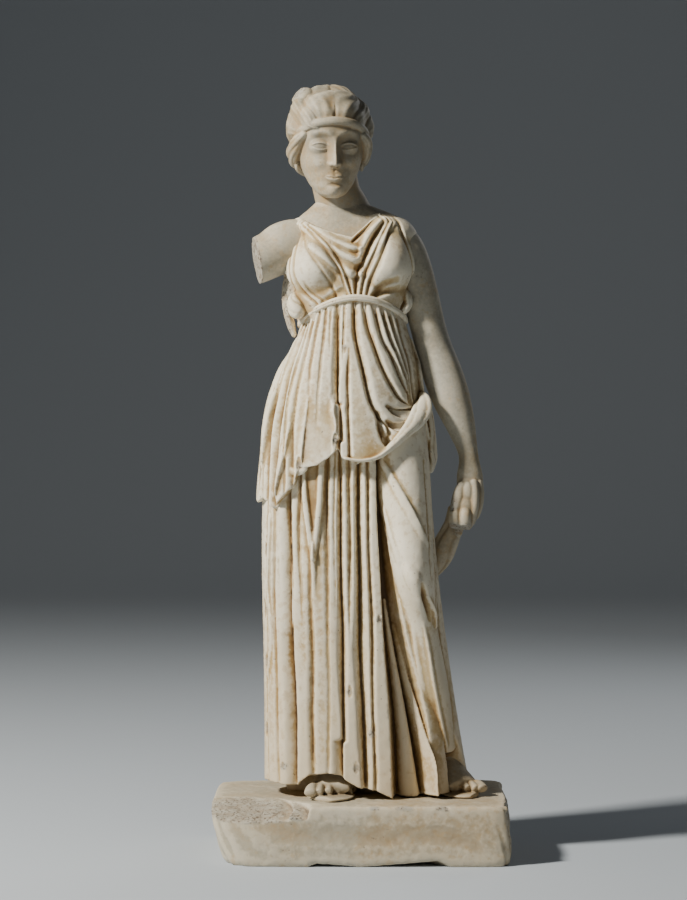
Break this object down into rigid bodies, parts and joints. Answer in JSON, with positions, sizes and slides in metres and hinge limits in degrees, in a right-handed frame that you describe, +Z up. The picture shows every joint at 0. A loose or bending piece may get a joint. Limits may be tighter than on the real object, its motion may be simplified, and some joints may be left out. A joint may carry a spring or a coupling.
{
  "type": "classical marble statue",
  "caption": "Standing draped woman in pale weathered marble, carved in one block with her plinth, right arm broken off above the elbow.",
  "frame": {"origin": "middle of the underside of the plinth, on the ground", "axes": "+Z up, the figure's front towards -Y, her left hand on the +X side"},
  "size_m": [0.4326, 0.2778, 1.1161],
  "materials": {
    "marble": "weathered, warm stains in the folds, worn matt surface"
  },
  "bodies": {
    "root": {"marble_statue": "marble"}
  },
  "joints": []
}
